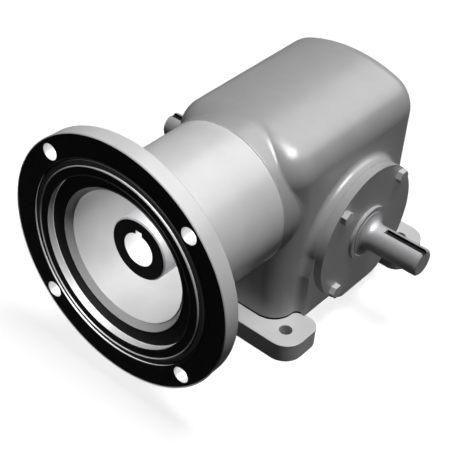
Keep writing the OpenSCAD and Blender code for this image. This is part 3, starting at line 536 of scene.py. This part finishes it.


# The motor adapter, turned from one profile: depth from the flange face, radius, corner rounding,
# and the finish of the surface that follows
# Finish indices: cast paint; the near-black painted shade on the faces turned to the front; machined iron.
PAINTED, SHADED_FACE, BORED = 0, 1, 2
ADAPTER_TURNS, QUICK_ADAPTER_TURNS = 240, 96
BOLT_HOLE_R = 5.35
BOLT_CIRCLE_R = 74.6125
SCREW_HOLE_R = 3.3
SCREW_CIRCLE_R = 37.5
HOLE_TURNS = 48
HOLE_SINK = 0.15
DRILL_CLEAR = 2.0
ADAPTER_PROFILE = (
    (REGISTER_D + MOUTH_R - BELL_R, BELL_R, 0.4, PAINTED),
    (REGISTER_D, MOUTH_R, 0.3, SHADED_FACE),
    (REGISTER_D, REGISTER_R, 0.3, BORED),
    (0.0, REGISTER_R, 0.3, SHADED_FACE),
    (0.0, GROOVE_R[0], 0.2, BORED),
    (GROOVE_D, GROOVE_R[0], 0.2, SHADED_FACE),
    (GROOVE_D, GROOVE_R[1], 0.2, BORED),
    (0.0, GROOVE_R[1], 0.2, SHADED_FACE),
    (0.0, FLANGE_R, 0.5, PAINTED),
    (FLANGE_T, FLANGE_R, 1.0, PAINTED),
    (FLANGE_T, BARREL_R, 4.0, PAINTED),
    (ADAPTER_END_D, BARREL_R, 0.4, BORED),
    (ADAPTER_END_D, PILOT_R, 0.2, BORED),
    (PILOT_END_D, PILOT_R, 0.4, BORED),
    (PILOT_END_D, PILOT_BORE_R, 0.4, BORED),
    (BELL_FLOOR_D, PILOT_BORE_R, 0.4, PAINTED),
    (BELL_FLOOR_D, BELL_R, 1.2, PAINTED),
)


def with_round_corners(profile, steps=4):
    """Replaces each corner of a closed profile by an arc. Returns (x, r, finish) rows."""
    rows = []
    for i, (x, r, rounding, finish) in enumerate(profile):
        here = Vector((x, r))
        back = (Vector(profile[i - 1][:2]) - here).normalized()
        on = (Vector(profile[(i + 1) % len(profile)][:2]) - here).normalized()
        half = back.angle(on) / 2
        reach = rounding / math.tan(half)
        centre = here + (back + on).normalized() * rounding / math.sin(half)
        start, stop = here + back * reach - centre, here + on * reach - centre
        for k in range(steps + 1):
            spoke = start.slerp(stop, k / steps) if k % steps else (stop if k else start)
            rows.append((*(centre + spoke), finish))
    return rows


def turned(rows, turns):
    """Revolves (x, r, finish) rows about the worm axis, with a finish for each face."""
    bm = bmesh.new()
    rings = []
    for k in range(turns):
        a = 2 * math.pi * k / turns
        rings.append([bm.verts.new(Vector((x, r * math.cos(a), WORM_Z + r * math.sin(a))) * MM)
                      for x, r, _ in rows])
    for k, ring in enumerate(rings):
        following = rings[(k + 1) % turns]
        for i, (_, _, finish) in enumerate(rows):
            j = (i + 1) % len(rows)
            face = bm.faces.new((ring[i], ring[j], following[j], following[i]))
            face.material_index = finish
    bmesh.ops.recalc_face_normals(bm, faces=bm.faces)
    mesh = bpy.data.meshes.new("adapter_casting")
    bm.to_mesh(mesh)
    bm.free()
    return mesh


def drill(x0, x1, circle_r, r):
    """Four drills with countersunk ends, at 45 degrees on a circle about the worm axis."""
    wide = r + HOLE_SINK + DRILL_CLEAR
    rows = [(x0 - DRILL_CLEAR, wide), (x0 + HOLE_SINK, r), (x1 - HOLE_SINK, r), (x1 + DRILL_CLEAR, wide)]
    verts, faces = [], []
    for hole in range(4):
        tilt = math.radians(45 + 90 * hole)
        centre = Vector((0, circle_r * math.cos(tilt), WORM_Z + circle_r * math.sin(tilt)))
        first = len(verts)
        for x, rho in rows:
            for k in range(HOLE_TURNS):
                a = 2 * math.pi * k / HOLE_TURNS
                verts.append((centre + Vector((x, rho * math.cos(a), rho * math.sin(a)))) * MM)
        for j in range(len(rows) - 1):
            for k in range(HOLE_TURNS):
                a, b = first + j * HOLE_TURNS + k, first + j * HOLE_TURNS + (k + 1) % HOLE_TURNS
                faces.append((a, b, b + HOLE_TURNS, a + HOLE_TURNS))
        faces.append([first + k for k in reversed(range(HOLE_TURNS))])
        faces.append([first + (len(rows) - 1) * HOLE_TURNS + k for k in range(HOLE_TURNS)])
    mesh = bpy.data.meshes.new("drill")
    mesh.from_pydata(verts, [], faces)
    for _ in (PAINTED, SHADED_FACE, BORED):
        mesh.materials.append(None)
    for polygon in mesh.polygons:
        polygon.material_index = BORED
    return add_object("drill", mesh)


def make_adapter():
    rows = [(FLANGE_X + d, r, finish) for d, r, finish in with_round_corners(ADAPTER_PROFILE)]
    mesh = turned(rows, ADAPTER_TURNS)
    # The faces turned to the front, which stand in shade, get the near-black painted shade.
    for material in (MATERIALS["casting"], PAINTED_SHADE, MACHINED):
        mesh.materials.append(material)
    rough = add_object("adapter_rough", mesh)
    drills = (drill(FLANGE_X, FLANGE_X + FLANGE_T, BOLT_CIRCLE_R, BOLT_HOLE_R),
              drill(FLANGE_X + BELL_FLOOR_D, FLANGE_X + ADAPTER_END_D, SCREW_CIRCLE_R, SCREW_HOLE_R))
    for cutter in drills:
        cut = rough.modifiers.new("cut", "BOOLEAN")
        cut.object = cutter
        cut.operation = "DIFFERENCE"
        cut.solver = "EXACT"
        cut.material_mode = "INDEX"
    bpy.context.view_layer.update()
    drilled = bpy.data.meshes.new_from_object(rough.evaluated_get(bpy.context.evaluated_depsgraph_get()))
    for used in (rough, *drills):
        bpy.data.objects.remove(used)
    smooth(drilled, sharp_deg=32)
    piece = add_object("adapter_casting", drilled)
    even_shading(piece)
    stand_in(piece, "motor_flange", "motor_adapter")


# CAD nodes that stay keep their shape. Those listed here get rounded edges, in millimetres, and the
# rest keep crisp ones.
EDGES = {
    "base_plate": 0.5,
    "cover_screws_right": 0.25,
    "cover_screws_left": 0.25,
    "rear_end_plug": 0.3,
    "vent_plug": 0.3,
    "level_plug": 0.3,
    "drain_plug": 0.3,
}
CRISP_DEG = 28
BEVEL_DEG = 35
FLAT_DEG = 0.5


def round_edges(obj, width):
    flat = obj.modifiers.new("flat", "DECIMATE")
    flat.decimate_type = "DISSOLVE"
    flat.angle_limit = math.radians(FLAT_DEG)
    bevel = obj.modifiers.new("edges", "BEVEL")
    bevel.width = width * MM
    bevel.segments = 3
    bevel.limit_method = "ANGLE"
    bevel.angle_limit = math.radians(BEVEL_DEG)
    bevel.use_clamp_overlap = True
    bevel.material = 0
    even_shading(obj)


def dress_node(name, slot):
    obj = NODES[name]
    obj.data.materials.clear()
    obj.data.materials.append(MATERIALS[slot])
    smooth(obj.data, CRISP_DEG)
    weld = obj.modifiers.new("weld", "WELD")
    weld.merge_threshold = 1e-6
    if name in EDGES:
        round_edges(obj, EDGES[name])
    else:
        crisp = obj.modifiers.new("crisp", "EDGE_SPLIT")
        crisp.split_angle = math.radians(CRISP_DEG)


def dress_nodes():
    slots = {s["node"]: s["material_slot"] for s in frame["record"]["subparts"]}
    for name in NODES:
        dress_node(name, slots[name])
    for name in ("cover_right", "cover_left"):
        NODES[name].data.materials[0] = HOUSING
    NODES["base_plate"].data.materials[0] = BASE
    # Painted shade on the quill's end face and in the output shaft's keyway
    paint_shade(NODES["worm_shaft"], on_quill_end)
    paint_shade(NODES["output_shaft"], in_output_keyway)


# Floor, world and lamps
SEEN_IN_METAL = 0.1
AMBIENT = (0.006, 0.006, 0.006)
FLOOR_HALF = 6
ABOVE_FRONT = (0.08, -0.22, 0.97)


def make_stage():
    mesh = bpy.data.meshes.new("floor")
    corners = [(u * FLOOR_HALF, v * FLOOR_HALF, 0) for u, v in ((-1, -1), (1, -1), (1, 1), (-1, 1))]
    mesh.from_pydata(corners, [], [(0, 1, 2, 3)])
    floor = add_object("floor", mesh)
    f = Finish("floor_paper", Roughness=0.9, Specular_IOR_Level=0.0)
    path = f.tree.nodes.new("ShaderNodeLightPath")
    seen = f.math("MAXIMUM", path.outputs["Is Camera Ray"],
                  f.math("MULTIPLY", path.outputs["Is Glossy Ray"], SEEN_IN_METAL))
    f.colour(f.mix(seen, AMBIENT, (1.0, 1.0, 1.0)))
    mesh.materials.append(f.material)


def make_world():
    world = bpy.data.worlds.new("world")
    bpy.context.scene.world = world
    world.use_nodes = True
    tree = world.node_tree
    path = tree.nodes.new("ShaderNodeLightPath")
    mixed = tree.nodes.new("ShaderNodeMix")
    mixed.data_type = "RGBA"
    mixed.inputs[6].default_value = (*AMBIENT, 1)
    mixed.inputs[7].default_value = (1, 1, 1, 1)
    seen = tree.nodes.new("ShaderNodeMath")
    seen.operation = "MULTIPLY_ADD"
    seen.use_clamp = True
    tree.links.new(path.outputs["Is Glossy Ray"], seen.inputs[0])
    seen.inputs[1].default_value = SEEN_IN_METAL
    tree.links.new(path.outputs["Is Camera Ray"], seen.inputs[2])
    tree.links.new(seen.outputs["Value"], mixed.inputs[0])
    tree.links.new(mixed.outputs[2], tree.nodes["Background"].inputs["Color"])


def sun(name, toward, strength, spread_deg, diffuse=True, glossy=True, shadow=True):
    """A distant lamp in the direction toward, as seen from the object."""
    data = bpy.data.lights.new(name, "SUN")
    data.energy = strength
    data.angle = math.radians(spread_deg)
    data.use_shadow = shadow
    lamp = add_object(name, data)
    lamp.rotation_mode = "QUATERNION"
    lamp.rotation_quaternion = Vector(toward).to_track_quat("Z", "Y")
    lamp.visible_diffuse = diffuse
    lamp.visible_glossy = glossy


def make_lamps():
    """Three lamps give the tones of matt faces, and two only the shine."""
    sun("key", ABOVE_FRONT, strength=0.7, spread_deg=18, glossy=False)
    sun("fill", ABOVE_FRONT, strength=2.65, spread_deg=2, glossy=False, shadow=False)
    sun("back", (0.62, 0.50, -0.60), strength=0.45, spread_deg=2, glossy=False, shadow=False)
    sun("shine", (0.04, -0.32, 0.94), strength=9.5, spread_deg=33, diffuse=False, shadow=False)
    sun("sheen", (0.61, -0.20, 0.76), strength=4.0, spread_deg=60, diffuse=False, shadow=False)


make_camera()
make_housing()
make_adapter()
dress_nodes()
make_stage()
make_world()
make_lamps()
bpy.context.scene.view_settings.view_transform = "Standard"
